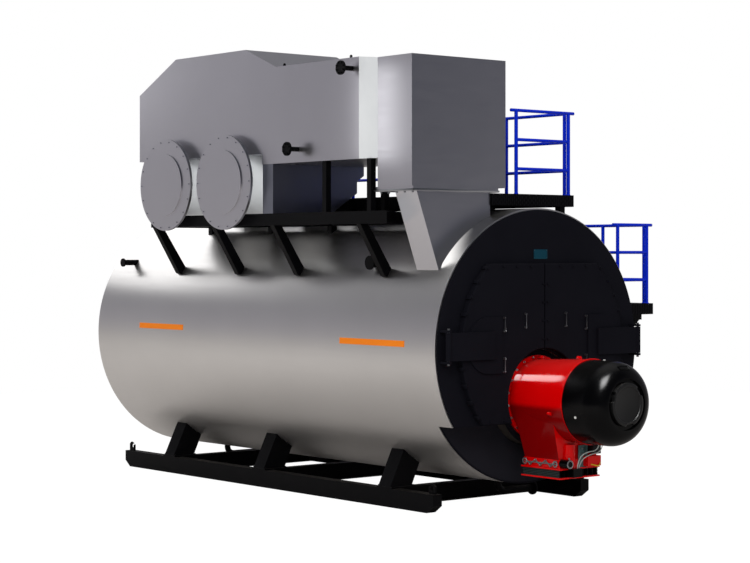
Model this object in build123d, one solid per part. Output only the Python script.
from build123d import *
import math
import os

# Horizontal fire-tube steam boiler on skids, with its burner, flue economiser, walkways and railings.
# Millimetres, +Z up. The drum's axis runs along Y and the burner faces -Y.
# The origin is on the ground, under the middle of the middle saddle.

# Drum and smoke box
shell_radius = 1740
shell_wall = 120
belly_gap = 71
front_overhang = 4176
rear_overhang = 3637
smoke_box_depth = 760
lower_setback = 270
smoke_floor_drop = 945
smoke_floor_thickness = 40
front_plate_thickness = 20
cladding_lip = 20
sheet_thickness = 30
rear_cover_thickness = 60
rear_edge_bevel = 35
rear_hatch_radius = 330
rear_hatch_thickness = 50
fit_gap = 0.3

# Burner
burner_drop = 644
throat_radius = 600
throat_wall = 110
throat_clearance = 6
arch_wall = 36
burner_plate_setback = 107
burner_plate_thickness = 25
flange_radius = 535
flange_thickness = 30
body_rear_radius = 485
body_front_radius = 525
body_length = 955
cover_length = 590
cover_round_depth = 260
cover_round_width = 200
cover_step = 8
cap_recess_radius = 310
cap_margin = 45
cap_recess = 30
cap_rise = 45
inlet_width = 640
inlet_length = 636
inlet_forward = 90
skirt_top_drop = 125
skirt_top_width = 960
skirt_top_length = 670
skirt_inset = 20
damper_height = 105
column_radius = 80
column_left = 150
column_height = 290
servo_left = 285
servo_radius = 55
servo_length = 140
servo_rise = 62
junction_box = (150, 95, 105)
junction_left = 205
control_box = (230, 90, 125)
control_box_left = -70
control_box_rise = 10
inlet_plate = 18
inlet_plate_lip = 25
grille_height = 95
grille_bars = 9
grille_bar_width = 14
inlet_bottom_height = 454

# Front doors
door_rim_inset = 348
door_top = 1045
door_bottom_gap = 12
door_seam = 16
door_thickness = 81
door_gasket_gap = 6
door_edge = 10
opening_margin = 60
mullion_half = 70
hinge_rim_inset = 96
hinge_rise = 44
knuckle_height = 340
knuckle_radius = 36
pin_radius = 17
pin_clearance = 0.3
pin_end = 22
lug_thickness = 26
lug_gap = 6
lug_half_width = 38
strap_thickness = 20
arm_thickness = 30
arm_reach = 744
strap_length = 571
strap_edge_inset = 75
strap_half_height = 348
handle_radius = 15
handle_length = 190
handle_standoff = 45
handle_foot = 36
handle_x = 348
handle_z = 338
pivot_z_high = 297
pivot_z_low = -205

# Skids and saddles
skid_outer = 1361
skid_width = 146
skid_height = 235
skid_plate = 14
skid_front_setback = 492
skid_rear_setback = 192
skid_nose_length = 125
skid_nose_rise = 90
saddle_front = 2732
saddle_rear = 2245
saddle_width = 240
saddle_plate = 16
saddle_base_thickness = 20
saddle_base_margin = 30
saddle_foot_outer = 1357
saddle_foot_inner = 1000
saddle_head_outer = 1131
saddle_head_inner = 870
cross_beam_width = 140
cross_beam_web = 12
hook_width = 120
hook_height = 130
hook_front_height = 98
hook_rear_height = 91
hook_crest_inset = 36
hook_thickness = 30
hook_throat = 34
hook_throat_inset = 70
hook_throat_height = 68
hook_inset = 30

# Economiser frame on the drum
frame_overhang = 197
frame_drop = 42
frame_beam_width = 90
frame_beam_height = 157
frame_beam_plate = 10
frame_inner = 885
strut_width = 90
strut_head_width = 126
strut_foot_width = 225
strut_run = 441
strut_bays = (-2925, -1107, 261, 1740)
leg_width = 90
post_width = 80
post_stations = (-3132, -2228)

# Flue and economiser
flue_wall = 14
riser_setback = 286
riser_length = 406
riser_rim_inset = 292
riser_flare = 353
riser_right = 597
riser_deck_gap = 7
flue_mouth_margin = 60
flue_flange_thickness = 30
flue_flange_lip = 79
flue_flange_inner_lip = 112
flue_flange_front_lip = 30
flue_flange_rear_lip = 296
flue_box_inset = 40
flue_box_right = 355
flue_box_front_lip = 25
flue_box_length = 652
flue_box_drop = 29
insulated_wall = 80
duct_overhang = 12
duct_right = 400
duct_front = 2958
duct_rear = 1218
duct_height = 1270
casing_drop = 74
casing_height = 1410
casing_step = 139
casing_ridge_front = 522
casing_ridge_inset = 64
casing_tail = 880
casing_shoulder_height = 957
casing_leg_front = 1131
casing_leg_depth = 226
casing_rear_leg_gap = 43
casing_rear_leg_depth = 122
leg_flange_width = 120
leg_flange_depth = 120
leg_flange_slope = 80
leg_web_depth = 360
drum_radius = 432
drum_wall = 24
drum_overhang = 116
drum_right = 620
front_drum_y = -198
drum_cover_gap = 148
drum_cover_radius = 640
drum_cover_thickness = 35
drum_cover_rise = 16

# Upper walkway
walk_left = 590
walk_right = 851
walk_setback = 261
walk_clearance = 34
walk_depth = 150
walk_plate = 8
walk_leg_inset = 200
walk_leg_rows = 5
rail_height = 1080
rail_radius = 21
post_radius = 24
rail_sides = 8
rail_rows = 3
rail_row_pitch = 370
rail_inset = 30
side_post_setback = 110
rear_panel_gap = 70
front_panel_left = -145
front_panel_right = 781
rail_overhang = 95
upper_bays = 5

# Side platform on the right
side_gap = 70
side_width = 713
side_setback = 418
side_top = 496
side_depth = 148
side_bracket_inset = 250
side_brackets = 4
bracket_width = 80
bracket_foot_drop = 360
side_panel_inner = 54
side_bays = 7
stair_bay = 1187
stair_gap = 130
stair_width = 640
stair_stringer = 24
stair_stringer_depth = 150
stair_treads = 5
tread_depth = 180
tread_thickness = 24
ladder_width = 420
ladder_rungs = 7
ladder_bar = 22
rung_radius = 14

# Nozzles and blow-down pipes
duct_nozzles = ((-2817, 1131), (-1696, 168))
duct_nozzle_radius = 31
duct_nozzle_flange = 90
duct_nozzle_length = 190
shell_nozzles = ((3075, 1036, 42, 62, 245), (-2659, 1054, 60, 90, 160))
nozzle_flange_thickness = 24
blowdown_front_inset = 26
blowdown_rear_inset = 937
blowdown_radius = 44
blowdown_sides = 12
blowdown_drop = 150
blowdown_bend = 110
blowdown_run = 620
blowdown_flange = 95
blowdown_flange_thickness = 22

# Places worked out from the sizes above
axis_height = skid_height + belly_gap + shell_radius
y_front = -front_overhang
y_rear = rear_overhang
y_lower = y_front + lower_setback
y_sheet = y_front + smoke_box_depth
z_burner = axis_height - burner_drop
y_plate = y_front + burner_plate_setback
y_flange = y_plate - burner_plate_thickness
y_body = y_flange - flange_thickness
y_joint = y_body - body_length
bore_radius = shell_radius - shell_wall
hinge_offset = shell_radius - hinge_rim_inset
door_radius = shell_radius - door_rim_inset
strap_outer = door_radius - strap_edge_inset
strap_inner = strap_outer - strap_length
skid_front = y_front + skid_front_setback
skid_rear = y_rear - skid_rear_setback
saddle_stations = (-saddle_front, 0, saddle_rear)
frame_left = shell_radius + frame_overhang
frame_top = shell_radius - frame_drop
frame_bottom = frame_top - frame_beam_height
strut_foot = frame_left - strut_run
rear_drum_y = front_drum_y + 2 * drum_cover_radius + drum_cover_gap
drum_stations = (front_drum_y, rear_drum_y)
rear_leg_front = rear_drum_y + drum_radius + casing_rear_leg_gap
frame_rear = rear_leg_front + casing_rear_leg_depth
casing_rear = rear_drum_y + casing_tail
casing_ridge_rear = rear_drum_y - casing_ridge_inset
walk_front = y_front + walk_setback
walk_top = shell_radius + walk_clearance + walk_depth
stair_bay_front = frame_rear - stair_bay
riser_front = y_front + riser_setback
riser_rear = riser_front + riser_length
riser_top = walk_top + riser_deck_gap
riser_left_low = shell_radius - riser_rim_inset
riser_left_top = riser_left_low + riser_flare
drum_axis_height = frame_top + drum_radius + fit_gap
casing_bottom = drum_axis_height + drum_radius - casing_drop
casing_ridge = casing_bottom + casing_height
casing_shoulder = casing_bottom + casing_shoulder_height
duct_bottom = casing_bottom - casing_step
duct_top = duct_bottom + duct_height
duct_left = frame_left + duct_overhang
drum_left = frame_left + drum_overhang
flue_flange_left = riser_left_top + flue_flange_lip
flue_flange_right = riser_right - flue_flange_inner_lip
flue_flange_front = riser_front - flue_flange_front_lip
flue_flange_rear = riser_rear + flue_flange_rear_lip
flue_box_left = frame_left - flue_box_inset
flue_box_front = riser_front - flue_box_front_lip
flue_box_rear = flue_box_front + flue_box_length
flue_box_top = duct_top - flue_box_drop
side_left = shell_radius + side_gap
side_right = side_left + side_width
side_front = y_front + side_setback
blowdown_stations = (y_sheet + blowdown_front_inset, y_rear - blowdown_rear_inset)


def cross_section(y):
    """Plane across the drum: local x is X and local y is the height above the drum's axis."""
    return Plane(origin=(0, y, axis_height), x_dir=(1, 0, 0), z_dir=(0, -1, 0))


def along(sketch, front, rear):
    """Run a cross-section sketch along the drum from one Y to another."""
    return extrude(cross_section(rear) * sketch, amount=rear - front, dir=(0, -1, 0))


def across(sketch, left, right):
    """Run a side-view sketch, of Y and the height above the drum's axis, from one X to another."""
    plane = Plane(origin=(left, 0, axis_height), x_dir=(0, 1, 0), z_dir=(1, 0, 0))
    return extrude(plane * sketch, amount=right - left, dir=(1, 0, 0))


def block(x, y, z):
    """Flat piece between two limits each way, with z above the drum's axis."""
    middle = Pos((x[0] + x[1]) / 2, (y[0] + y[1]) / 2, axis_height + (z[0] + z[1]) / 2)
    return middle * Box(abs(x[1] - x[0]), abs(y[1] - y[0]), abs(z[1] - z[0]))


def rod(start, end, radius):
    """Round bar between two points, with z above the drum's axis."""
    a = Vector(*start) + Vector(0, 0, axis_height)
    b = Vector(*end) + Vector(0, 0, axis_height)
    return extrude(Plane(origin=a, z_dir=b - a) * Circle(radius), amount=(b - a).length)


def bar(start, end, radius):
    """Rail or rung of few sides between two points, with z above the drum's axis."""
    a = Vector(*start) + Vector(0, 0, axis_height)
    b = Vector(*end) + Vector(0, 0, axis_height)
    return extrude(Plane(origin=a, z_dir=b - a) * RegularPolygon(radius, rail_sides), amount=(b - a).length)


def outline(*points):
    """Closed polygon through the given points."""
    return Polygon(*points, align=None)


def spread(first, last, count):
    """Evenly spaced places from the first to the last."""
    return [first + (last - first) * i / (count - 1) for i in range(count)]


def half_plane(level, above=True):
    """Wide area above or below a level, to cut a round sketch with a chord."""
    size = 4 * shell_radius
    align = (Align.CENTER, Align.MIN if above else Align.MAX)
    return Pos(0, level) * Rectangle(size, size, align=align)


def at_burner(sketch):
    """Move a sketch from the drum's axis to the burner's."""
    return Pos(0, -burner_drop) * sketch


def drum_space():
    """The round space that the cladding fills, to cut what stands on it."""
    return along(Circle(shell_radius + fit_gap), y_front - 1, y_rear + 1)


def shell_height(x):
    """Height of the cladding above the drum's axis at a given X."""
    return math.sqrt(shell_radius**2 - x**2)


def gather(pieces):
    """Several separate pieces as one node."""
    return Compound([solid for piece in pieces for solid in piece.solids()])


def mirrored(piece):
    return piece.mirror(Plane.YZ)


def channel_beam(width, height, plate):
    """Channel section, web on the left, drawn from its lower left corner."""
    body = Rectangle(width, height, align=(Align.MIN, Align.MIN))
    inner = Rectangle(width - plate, height - 2 * plate, align=(Align.MIN, Align.MIN))
    return body - Pos(plate, plate) * inner


def drum_nodes():
    shell = along(Circle(shell_radius) - Circle(bore_radius), y_sheet, y_rear - rear_cover_thickness)
    sheet = along(Circle(bore_radius - fit_gap), y_sheet, y_sheet + sheet_thickness)
    cover = along(Circle(shell_radius), y_rear - rear_cover_thickness, y_rear)
    rim = cover.edges().filter_by(GeomType.CIRCLE).sort_by(Axis.Y)[-1]
    cover = chamfer(rim, rear_edge_bevel)
    hatch = along(at_burner(Circle(rear_hatch_radius)), y_rear, y_rear + rear_hatch_thickness)
    return {
        "boiler_shell": shell,
        "front_tube_sheet": sheet,
        "rear_cover": cover,
        "rear_hatch": hatch,
    }


def arch(radius):
    """Round way through the smoke box for the burner's throat."""
    return at_burner(Circle(radius))


def door_outline(side, grow=0.0):
    """One leaf seen from the front: a round outer edge, a straight seam and the arch over the burner."""
    floor = -smoke_floor_drop + door_bottom_gap
    leaf = Circle(door_radius + grow) & half_plane(floor - grow)
    leaf = leaf & half_plane(door_top + grow, above=False)
    span = 2 * shell_radius
    half = Pos(side * (door_seam / 2 - grow), 0) * Rectangle(
        span, 2 * span, align=(Align.MIN if side > 0 else Align.MAX, Align.CENTER)
    )
    return (leaf & half) - arch(throat_radius + throat_clearance + arch_wall / 2 - grow)


def door_opening(side):
    """Hole behind one leaf, which covers it by a margin all round."""
    hole = door_outline(side, -opening_margin)
    return hole - Rectangle(2 * mullion_half, 4 * shell_radius)


def front_plates():
    """Front of the smoke box: a crown over the doors, a plate at each side and the arch with its mullion."""
    way = arch(throat_radius + throat_clearance)
    plate = (Circle(shell_radius - cladding_lip) & half_plane(-smoke_floor_drop)) - way
    plate = plate - door_opening(-1) - door_opening(1)
    crown_level = door_top - opening_margin
    lower = plate & half_plane(crown_level, above=False)
    corner = math.sqrt((door_radius - opening_margin)**2 - crown_level**2)
    middle = Rectangle(2 * corner, 4 * shell_radius)
    y_back = y_front + front_plate_thickness
    return {
        "smoke_box_crown_plate": along(plate & half_plane(crown_level), y_front, y_back),
        "smoke_box_side_plates": along(lower - middle, y_front, y_back),
        "smoke_box_arch_plate": along(lower & middle, y_front, y_back),
    }


def smoke_box_nodes():
    y_back = y_front + front_plate_thickness
    floor_top = -smoke_floor_drop + smoke_floor_thickness
    way = arch(throat_radius + throat_clearance)
    hood = arch(throat_radius + throat_clearance + arch_wall)
    room = (Circle(bore_radius) & half_plane(floor_top)) - hood
    outer = (Circle(shell_radius) & half_plane(-smoke_floor_drop)) - room - way
    ring = Circle(shell_radius) - Circle(bore_radius)
    inner = (Circle(bore_radius) & half_plane(-smoke_floor_drop)) - room - way
    casing = along(outer, y_back, y_lower) + along(ring + inner, y_lower, y_sheet)
    mouth = block((-riser_left_low + flue_mouth_margin, -riser_right - flue_mouth_margin),
                  (riser_front + flue_mouth_margin, riser_rear - flue_mouth_margin), (0, shell_radius + 1))
    lower = (Circle(shell_radius - cladding_lip) & half_plane(-smoke_floor_drop, above=False)) - way
    nodes = {
        "smoke_box_casing": casing - mouth,
        "lower_front_plate": along(lower, y_lower - front_plate_thickness, y_lower),
    }
    nodes.update(front_plates())
    return nodes


def hinge_pin_y():
    """Y of the hinge pins, in the middle of the swinging arms."""
    return y_front - door_gasket_gap - door_thickness - strap_thickness - arm_thickness / 2


def bar_handle(x, z, face):
    """Upright grip on two feet, standing off a face."""
    axis = face - handle_standoff
    ends = (z - handle_length / 2, z + handle_length / 2)
    grip = bar((x, axis, ends[0]), (x, axis, ends[1]), handle_radius)
    for foot in (z - handle_length / 4, z + handle_length / 4):
        grip += block((x - handle_foot / 2, x + handle_foot / 2), (axis, face),
                      (foot - handle_foot / 2, foot + handle_foot / 2))
    return grip


def door_nodes(side, name):
    rear = y_front - door_gasket_gap
    face = rear - door_thickness
    leaf = along(door_outline(side), face, rear)
    front_edges = leaf.faces().sort_by(Axis.Y)[0].edges()
    leaf = chamfer(front_edges, door_edge)

    straight = strap_outer - strap_half_height
    strap = Pos(side * (strap_inner + straight) / 2, hinge_rise) * Rectangle(
        straight - strap_inner, 2 * strap_half_height)
    strap += Pos(side * straight, hinge_rise) * Circle(strap_half_height)
    strap = strap & (Pos(side * strap_inner, 0) * Rectangle(
        2 * shell_radius, 4 * shell_radius,
        align=(Align.MIN if side > 0 else Align.MAX, Align.CENTER)))
    strap = along(strap, face - strap_thickness, face)

    pin_y = hinge_pin_y()
    low, high = hinge_rise - knuckle_height / 2, hinge_rise + knuckle_height / 2
    tip = hinge_offset - arm_reach
    arm = block((side * hinge_offset, side * tip), (pin_y - arm_thickness / 2, pin_y + arm_thickness / 2),
                (low, high))
    arm += rod((side * hinge_offset, pin_y, low), (side * hinge_offset, pin_y, high), knuckle_radius)
    arm -= rod((side * hinge_offset, pin_y, low - 1), (side * hinge_offset, pin_y, high + 1),
               pin_radius + pin_clearance)

    handles = [bar_handle(side * handle_x, handle_z, face)]
    pivots = [bar_handle(side * (strap_inner - handle_foot), z, face) for z in (pivot_z_high, pivot_z_low)]
    return {
        f"{name}_door_leaf": leaf,
        f"{name}_door_strap": strap,
        f"{name}_door_arm": arm,
        f"{name}_door_handles": gather(handles + pivots),
    }


def hinge_nodes():
    """Fixed lugs on the smoke box front and the pins through them, for both leaves."""
    pin_y = hinge_pin_y()
    pin_reach = knuckle_height / 2 + lug_gap + lug_thickness + pin_end
    lugs, pins = [], []
    for x in (-hinge_offset, hinge_offset):
        pins.append(rod((x, pin_y, hinge_rise - pin_reach), (x, pin_y, hinge_rise + pin_reach), pin_radius))
        for way in (-1, 1):
            base = hinge_rise + way * (knuckle_height / 2 + lug_gap)
            low, high = sorted((base, base + way * lug_thickness))
            lug = block((x - lug_half_width, x + lug_half_width), (pin_y, y_front), (low, high))
            lug += rod((x, pin_y, low), (x, pin_y, high), lug_half_width)
            lugs.append(lug - rod((x, pin_y, low - 1), (x, pin_y, high + 1), pin_radius + pin_clearance))
    return {"hinge_lugs": gather(lugs), "hinge_pins": gather(pins)}


def around_burner(profile):
    """Turn a side-view profile, of Y and radius, about the burner's axis."""
    plane = Plane(origin=(0, 0, z_burner), x_dir=(0, 1, 0), z_dir=(1, 0, 0))
    return revolve(plane * profile, axis=Axis((0, 0, z_burner), (0, 1, 0)))


def burner_nodes():
    y_nose = y_joint - cover_length
    throat = along(at_burner(Circle(throat_radius) - Circle(throat_radius - throat_wall)), y_plate, y_sheet)
    plate = along(at_burner(Circle(throat_radius)), y_flange, y_plate)
    flange = along(at_burner(Circle(flange_radius)), y_body, y_flange)

    body = around_burner(outline((y_body, 0), (y_body, body_rear_radius), (y_joint, body_front_radius),
                                 (y_joint, 0)))

    cover_radius = body_front_radius - cover_step
    with BuildSketch() as profile:
        with BuildLine():
            Polyline((y_joint, 0), (y_joint, cover_radius), (y_nose + cover_round_depth, cover_radius))
            EllipticalCenterArc((y_nose + cover_round_depth, cover_radius - cover_round_width),
                                cover_round_depth, cover_round_width, 90, arc_size=90)
            Polyline((y_nose, cover_radius - cover_round_width), (y_nose, cap_recess_radius),
                     (y_nose + cap_recess, cap_recess_radius), (y_nose + cap_recess, 0), (y_joint, 0))
        make_face()
    cover = around_burner(profile.sketch)

    cap_face = y_nose + cap_recess
    cap = along(at_burner(Circle(cap_recess_radius - cap_margin)), cap_face - cap_rise, cap_face)

    return {
        "burner_throat": throat,
        "burner_mount_plate": plate,
        "burner_flange": flange,
        "burner_body": body,
        "burner_cover": cover,
        "burner_cap": cap,
    }


def air_inlet_nodes():
    inlet_rear = y_body - inlet_forward
    inlet_front = inlet_rear - inlet_length
    floor = inlet_bottom_height - axis_height
    base_top = floor + 2 * inlet_plate + grille_height
    damper_top = base_top + damper_height
    half = inlet_width / 2

    middle = (inlet_front + inlet_rear) / 2
    low = Plane(origin=(0, middle, axis_height + damper_top)) * Rectangle(
        inlet_width, inlet_length - 2 * skirt_inset)
    high = Plane(origin=(0, middle, z_burner - skirt_top_drop)) * Rectangle(skirt_top_width, skirt_top_length)
    housing = loft([low, high]) - around_burner(
        outline((y_body, 0), (y_body, body_rear_radius + fit_gap),
                (y_joint, body_front_radius + fit_gap), (y_joint, 0)))
    housing += block((-half, half), (inlet_front, inlet_rear), (base_top, damper_top))
    column_axis = inlet_front + skirt_inset
    housing += rod((-column_left, column_axis, base_top),
                   (-column_left, column_axis, base_top + column_height), column_radius)

    edge = half + inlet_plate_lip
    ends = (inlet_front - inlet_plate_lip, inlet_rear + inlet_plate_lip)
    plates = []
    for level in (floor, floor + inlet_plate + grille_height):
        plates.append(block((-edge, edge), ends, (level, level + inlet_plate)))

    bars = []
    for x in spread(-half, half, grille_bars):
        bars.append(block((x - grille_bar_width / 2, x + grille_bar_width / 2), (inlet_front, inlet_rear),
                          (floor + inlet_plate, floor + inlet_plate + grille_height)))

    servo_z = base_top + servo_rise
    servo = rod((-servo_left, inlet_front - servo_length, servo_z), (-servo_left, inlet_front, servo_z),
                servo_radius)
    width, depth, height = junction_box
    plate_edge = ends[0]
    junction = block((-junction_left, -junction_left + width), (plate_edge - depth, plate_edge),
                     (base_top - height, base_top))
    width, depth, height = control_box
    control = block((-control_box_left, -control_box_left + width), (inlet_front - depth, inlet_front),
                    (base_top + control_box_rise, base_top + control_box_rise + height))
    return {
        "air_inlet_housing": housing,
        "air_inlet_plates": gather(plates),
        "air_inlet_grille": gather(bars),
        "burner_servo": gather([servo, junction]),
        "burner_control_box": control,
    }


def skid_beam():
    """Left skid: a channel with its web outside and noses cut up at both ends."""
    def side_view(inset):
        front, rear = skid_front + inset, skid_rear - inset
        bottom, top = -axis_height + inset, -axis_height + skid_height - inset
        return outline((front, top), (front, bottom + skid_nose_rise), (front + skid_nose_length, bottom),
                       (rear - skid_nose_length, bottom), (rear, bottom + skid_nose_rise), (rear, top))
    outer = across(side_view(0), -skid_outer, -skid_outer + skid_width)
    return outer - across(side_view(skid_plate), -skid_outer + skid_plate, -skid_outer + skid_width + 1)


def cross_beams():
    """Beams of I section between the skids, under the saddles."""
    floor = -axis_height
    reach = skid_outer - skid_width
    beams = []
    for y in saddle_stations:
        section = Pos(y, floor + skid_height / 2) * (
            Rectangle(cross_beam_width, skid_height)
            - Pos((cross_beam_width + cross_beam_web) / 4, 0)
            * Rectangle((cross_beam_width - cross_beam_web) / 2, skid_height - 2 * skid_plate)
            - Pos(-(cross_beam_width + cross_beam_web) / 4, 0)
            * Rectangle((cross_beam_width - cross_beam_web) / 2, skid_height - 2 * skid_plate))
        beams.append(across(section, -reach, reach))
    return gather(beams)


def saddles():
    """Left saddles: leaning box legs on base plates, cut to the round of the drum."""
    foot = -axis_height + skid_height
    sole = foot + saddle_base_thickness
    outer_head = -shell_height(saddle_head_outer)
    inner_head = -shell_height(saddle_head_inner)
    shin = outline((-saddle_foot_outer, sole), (-saddle_head_outer, outer_head),
                   (-saddle_head_inner, outer_head), (-saddle_head_inner, inner_head),
                   (-saddle_foot_inner, sole))
    core = offset(shin, -saddle_plate)
    legs = []
    for y in saddle_stations:
        half = saddle_width / 2
        leg = along(shin, y - half, y + half) - along(core, y - half + saddle_plate, y + half - saddle_plate)
        ends = (y - half - saddle_base_margin, y + half + saddle_base_margin)
        base = block((-skid_outer, -saddle_foot_inner + saddle_base_margin), ends, (foot, sole))
        legs.append(leg - drum_space() + base)
    return gather(legs)


def tow_hooks():
    """Left hooks: upright plates on the skid's ends, each with a round throat open to the top."""
    foot = -axis_height + skid_height
    middle = -skid_outer + skid_width / 2
    hooks = []
    for end, way in ((skid_front + hook_inset, 1), (skid_rear - hook_inset, -1)):
        back = end + way * hook_width
        plate = outline((end, foot), (end, foot + hook_front_height),
                        (end + way * hook_crest_inset, foot + hook_height),
                        (back, foot + hook_rear_height), (back, foot))
        centre = (end + way * hook_throat_inset, foot + hook_throat_height)
        way_out = Pos(centre[0] + way * hook_throat, centre[1] + hook_throat) * Rotation(0, 0, way * -45)
        slot = way_out * Rectangle(hook_throat, 4 * hook_throat)
        hook = plate - Pos(*centre) * Circle(hook_throat) - slot
        hooks.append(across(hook, middle - hook_thickness / 2, middle + hook_thickness / 2))
    return gather(hooks)


def skid_nodes():
    beam = skid_beam()
    legs = saddles()
    hooks = tow_hooks()
    return {
        "skids": gather([beam, mirrored(beam)]),
        "skid_cross_beams": cross_beams(),
        "saddle_legs": gather([legs, mirrored(legs)]),
        "tow_hooks": gather([hooks, mirrored(hooks)]),
    }


def frame_nodes():
    space = drum_space()
    section = channel_beam(frame_beam_width, frame_beam_height, frame_beam_plate)
    left = along(Pos(-frame_left, frame_bottom) * section, riser_rear, frame_rear)
    inner_left = -frame_inner - frame_beam_width
    inner = along(Pos(-frame_inner, frame_bottom) * mirror(section, Plane.YZ), riser_rear, frame_rear)
    ties, struts, legs = [], [], []
    for y in strut_bays:
        half = strut_width / 2
        ties.append(block((-frame_left + frame_beam_width, inner_left), (y - half, y + half),
                          (frame_bottom, frame_top)))
        foot = shell_height(strut_foot)
        lean = outline((-frame_left, frame_bottom), (-strut_foot - strut_width / 2, foot),
                       (-strut_foot - strut_width / 2 + strut_foot_width, foot - strut_width),
                       (-frame_left + strut_head_width, frame_bottom))
        struts.append(along(lean, y - half, y + half) - space)
        stub = block((inner_left, inner_left + leg_width), (y - half, y + half),
                     (shell_height(inner_left) - leg_width, frame_bottom))
        legs.append(stub - space)
    posts = []
    for y in post_stations:
        for x in (-frame_left + frame_beam_width / 2, -frame_inner - frame_beam_width / 2):
            half = post_width / 2
            posts.append(block((x - half, x + half), (y - half, y + half), (frame_top, duct_bottom)))
    return {
        "frame_beams": gather([left, inner]),
        "frame_cross_ties": gather(ties),
        "frame_knee_struts": gather(struts),
        "frame_inner_legs": gather(legs),
        "duct_posts": gather(posts),
    }


def hollow_duct(left, right, front, rear, bottom, top, wall):
    """Rectangular duct along Y, open at both ends."""
    def section(inset):
        return Pos((left + right) / 2, (bottom + top) / 2) * Rectangle(
            right - left - 2 * inset, top - bottom - 2 * inset)
    return along(section(0) - section(wall), front, rear)


def flue_nodes():
    low = shell_height(riser_left_low)
    body = outline((-riser_left_low, low), (-riser_left_top, riser_top), (-riser_right, riser_top),
                   (-riser_right, low))
    way = ((-riser_left_top + 3 * flue_wall, -riser_right - flue_wall),
           (riser_front + flue_wall, riser_rear - flue_wall))
    riser = along(body, riser_front, riser_rear)
    riser = riser - along(offset(body, -flue_wall), riser_front + flue_wall, riser_rear - flue_wall)

    def flange(base):
        return block((-flue_flange_left, -flue_flange_right), (flue_flange_front, flue_flange_rear),
                     (base, base + flue_flange_thickness))
    box_bottom = riser_top + flue_flange_thickness
    outlet = block(*way, (riser_top - 2 * flue_wall, box_bottom + 1))
    riser = riser + flange(riser_top) - outlet - drum_space()

    box = flange(box_bottom)
    box += block((-flue_box_left, -flue_box_right), (flue_box_front, flue_box_rear),
                 (box_bottom + flue_flange_thickness, flue_box_top))
    cavity = block((-flue_box_left + insulated_wall, -flue_box_right - insulated_wall),
                   (flue_box_front + insulated_wall, flue_box_rear + 1),
                   (duct_bottom + insulated_wall, flue_box_top - insulated_wall))
    throat = block(way[0], (flue_box_front + insulated_wall, way[1][1]),
                   (box_bottom - 1, duct_bottom + insulated_wall + 1))
    box = box - cavity - throat

    def rectangle_at(y, left, right, bottom, top, inset):
        shape = Pos((left + right) / 2, (bottom + top) / 2) * Rectangle(
            right - left - 2 * inset, top - bottom - 2 * inset)
        return cross_section(y) * shape
    outer, inner = [], []
    for group, inset in ((outer, 0), (inner, insulated_wall)):
        group.append(rectangle_at(flue_box_rear, -flue_box_left, -flue_box_right, duct_bottom, flue_box_top,
                                  inset))
        group.append(rectangle_at(-duct_front, -duct_left, -duct_right, duct_bottom, duct_top, inset))
    connector = loft(outer) - loft(inner)

    duct = hollow_duct(-duct_left, -duct_right, -duct_front, -duct_rear, duct_bottom, duct_top,
                       insulated_wall)
    return {
        "flue_riser": riser,
        "flue_box": box,
        "flue_connector": connector,
        "flue_duct": duct,
    }


def economiser_nodes():
    leg_rear = -casing_leg_front + casing_leg_depth
    side = outline((-duct_rear, duct_bottom), (-duct_rear, duct_top), (-casing_ridge_front, casing_ridge),
                   (casing_ridge_rear, casing_ridge), (casing_rear, casing_shoulder),
                   (casing_rear, casing_bottom), (leg_rear, casing_bottom), (leg_rear, duct_bottom))
    casing = across(side, -duct_left, -duct_right)
    hollow = across(offset(side, -insulated_wall), -duct_left + insulated_wall, -duct_right - insulated_wall)
    way_in = block((-duct_left + insulated_wall, -duct_right - insulated_wall),
                   (-duct_rear - 1, -duct_rear + 2 * insulated_wall),
                   (duct_bottom + insulated_wall, duct_top - insulated_wall))
    casing = casing - hollow - way_in
    for y in drum_stations:
        ends = ((-duct_left - 1, y, drum_axis_height), (-duct_right + 1, y, drum_axis_height))
        casing = casing - rod(*ends, drum_radius + fit_gap)

    lip = duct_bottom - leg_flange_depth
    web = -duct_right - leg_flange_width
    front_leg = outline((-frame_left, frame_top), (-frame_left, duct_bottom), (-duct_right, duct_bottom),
                        (-duct_right, lip), (web, lip - leg_flange_slope), (web, duct_bottom - leg_web_depth),
                        (-frame_inner - frame_beam_width, frame_top))
    front_leg = along(front_leg, -casing_leg_front, leg_rear)
    rear_leg = block((-frame_left, -frame_inner), (rear_leg_front, frame_rear), (frame_top, casing_bottom))

    drums, covers = [], []
    for y in drum_stations:
        body = rod((-drum_left, y, drum_axis_height), (-drum_right, y, drum_axis_height), drum_radius)
        core = rod((-drum_left - 1, y, drum_axis_height), (-drum_right - drum_wall, y, drum_axis_height),
                   drum_radius - drum_wall)
        drums.append(body - core)
        mouth = (-drum_left, y, drum_axis_height)
        face = -drum_left - drum_cover_thickness
        cover = rod((face, y, drum_axis_height), mouth, drum_cover_radius)
        cover += rod((face - drum_cover_rise, y, drum_axis_height), mouth, drum_radius)
        covers.append(cover)
    return {
        "economiser_casing": casing,
        "economiser_legs": gather([front_leg, rear_leg]),
        "economiser_drums": gather(drums),
        "drum_covers": gather(covers),
    }


def panel(start, end, floor, bays, overhang=0.0):
    """Railing panel: upright posts and level rails between two plan points, standing on a floor."""
    a, b = Vector(*start), Vector(*end)
    step = (b - a) / bays
    lean = (b - a).normalized() * overhang
    top = floor + rail_height
    rails = None
    for row in range(rail_rows):
        z = top - rail_radius - row * rail_row_pitch
        p, q = a - lean, b + lean
        if row:
            p, q = a, b
        piece = bar((p.X, p.Y, z), (q.X, q.Y, z), rail_radius)
        rails = piece if rails is None else rails + piece
    for i in range(bays + 1):
        foot = a + step * i
        rails = rails + bar((foot.X, foot.Y, floor), (foot.X, foot.Y, top - rail_radius), post_radius)
    return rails


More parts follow.
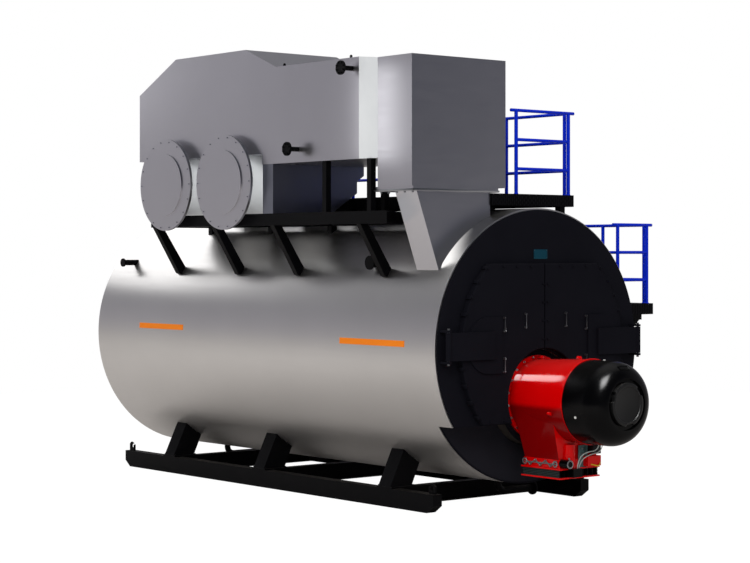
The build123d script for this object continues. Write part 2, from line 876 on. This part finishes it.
def deck(left, right, front, rear, top, depth):
    """Walkway deck: a plate on a rim of folded edges, open below."""
    body = block((left, right), (front, rear), (top - depth, top))
    return body - block((left + walk_plate, right - walk_plate), (front + walk_plate, rear - walk_plate),
                        (top - depth - 1, top - walk_plate))


def walkway_nodes():
    space = drum_space()
    top = walk_top
    floor = deck(-walk_left, walk_right, walk_front, frame_rear, top, walk_depth)
    legs = []
    for y in spread(walk_front + walk_leg_inset, frame_rear - walk_leg_inset, walk_leg_rows):
        for x in (-walk_left + walk_plate, walk_right - walk_plate - leg_width):
            base = min(shell_height(x), shell_height(x + leg_width)) - leg_width
            leg = block((x, x + leg_width), (y - leg_width / 2, y + leg_width / 2), (base, top - walk_plate))
            legs.append(leg - space)
    rail_y = walk_front + rail_inset
    rail_x = walk_right - rail_inset
    front = panel((front_panel_left, rail_y), (front_panel_right, rail_y), top, 1, rail_overhang)
    side = panel((rail_x, rail_y + side_post_setback), (rail_x, stair_bay_front), top, upper_bays - 1)
    rear_y = frame_rear - rail_inset
    rear = panel((-duct_right + rear_panel_gap, rear_y), (rail_x, rear_y), top, 1)
    return {
        "upper_walkway": floor,
        "walkway_legs": gather(legs),
        "upper_front_railing": front,
        "upper_side_railing": side,
        "upper_rear_railing": rear,
    }


def side_platform_nodes():
    space = drum_space()
    floor = deck(side_left, side_right, side_front, frame_rear, side_top, side_depth)
    brackets = []
    under = side_top - side_depth
    for y in spread(side_front + side_bracket_inset, frame_rear - side_bracket_inset, side_brackets):
        half = bracket_width / 2
        arm = outline((shell_radius / 2, under), (side_right, under), (side_right, under - bracket_width),
                      (shell_radius / 2, under - bracket_width))
        root = shell_radius - bracket_width
        knee = outline((side_right - bracket_width, under - bracket_width / 2),
                       (side_right, under - bracket_width / 2),
                       (root, -bracket_foot_drop - bracket_width),
                       (root, -bracket_foot_drop + bracket_width / 2))
        brackets.append(along(arm + knee, y - half, y + half) - space)
    rail_y = side_front + rail_inset
    rail_x = side_right - rail_inset
    front = panel((side_left + side_panel_inner, rail_y), (side_right - rail_overhang, rail_y), side_top, 1,
                  rail_overhang)
    rear_y = frame_rear - rail_inset
    side = panel((rail_x, rail_y + side_post_setback), (rail_x, rear_y), side_top, side_bays)

    x_top, x_low = walk_right, side_left
    z_top, z_low = walk_top, side_top
    rise, run = z_top - z_low, x_low - x_top
    length = math.hypot(rise, run)
    width = rise / length * stair_stringer_depth
    y_first = stair_bay_front + stair_gap
    flight = None
    stringer = outline((x_low, z_low), (x_top, z_top), (x_top + width, z_top), (x_low + width, z_low))
    for y in (y_first, y_first + stair_width - stair_stringer):
        side_plate = along(stringer, y, y + stair_stringer)
        flight = side_plate if flight is None else flight + side_plate
    for i in range(stair_treads):
        share = (i + 1) / (stair_treads + 1)
        x = x_low - run * share
        z = z_low + rise * share
        flight += block((x, x + tread_depth), (y_first, y_first + stair_width), (z - tread_thickness, z))

    ladder_x = side_left + (side_right - side_left) / 2
    ladder_y = frame_rear + ladder_bar / 2
    ladder = None
    for x in (ladder_x - ladder_width / 2, ladder_x + ladder_width / 2):
        upright = block((x - ladder_bar / 2, x + ladder_bar / 2), (frame_rear, frame_rear + 3 * ladder_bar),
                        (-axis_height, side_top + rail_height))
        ladder = upright if ladder is None else ladder + upright
    for i in range(ladder_rungs):
        z = -axis_height + (i + 1) * (side_top + axis_height) / (ladder_rungs + 1)
        ladder += bar((ladder_x - ladder_width / 2, ladder_y + ladder_bar, z),
                      (ladder_x + ladder_width / 2, ladder_y + ladder_bar, z), rung_radius)
    return {
        "side_platform": floor,
        "side_platform_brackets": gather(brackets),
        "side_front_railing": front,
        "side_long_railing": side,
        "walkway_stair": flight,
        "platform_ladder": ladder,
    }


def nozzle_nodes():
    space = drum_space()
    on_duct, on_shell = [], []
    for y, rise in duct_nozzles:
        z = duct_bottom + rise
        tip = -duct_left - duct_nozzle_length
        piece = rod((tip, y, z), (-duct_left, y, z), duct_nozzle_radius)
        piece += rod((tip, y, z), (tip + nozzle_flange_thickness, y, z), duct_nozzle_flange)
        on_duct.append(piece)
    for y, z, radius, flange, length in shell_nozzles:
        root = -math.sqrt(shell_radius**2 - z**2)
        tip = root - length
        piece = rod((tip, y, z), (root + 2 * radius, y, z), radius)
        piece += rod((tip, y, z), (tip + nozzle_flange_thickness, y, z), flange)
        on_shell.append(piece - space)
    pipes = []
    for y in blowdown_stations:
        top = -shell_radius + blowdown_radius
        level = -shell_radius - blowdown_drop
        path = FilletPolyline((0, y, axis_height + top), (0, y, axis_height + level),
                              (blowdown_run, y, axis_height + level), radius=blowdown_bend)
        section = RegularPolygon(blowdown_radius, blowdown_sides)
        pipe = sweep(Plane(origin=path @ 0, z_dir=path % 0) * section, path)
        collar = blowdown_run - blowdown_flange_thickness
        pipe += rod((collar, y, level), (blowdown_run, y, level), blowdown_flange)
        pipes.append(pipe - space)
    return {
        "pipe_nozzles": gather(on_duct + on_shell),
        "blowdown_pipes": gather(pipes),
    }


def all_nodes():
    nodes = {}
    nodes.update(drum_nodes())
    nodes.update(smoke_box_nodes())
    nodes.update(door_nodes(-1, "left"))
    nodes.update(door_nodes(1, "right"))
    nodes.update(hinge_nodes())
    nodes.update(burner_nodes())
    nodes.update(air_inlet_nodes())
    nodes.update(skid_nodes())
    nodes.update(frame_nodes())
    nodes.update(flue_nodes())
    nodes.update(economiser_nodes())
    nodes.update(walkway_nodes())
    nodes.update(side_platform_nodes())
    nodes.update(nozzle_nodes())
    return nodes


os.makedirs("parts", exist_ok=True)
for name, shape in all_nodes().items():
    export_step(shape, f"parts/{name}.step")
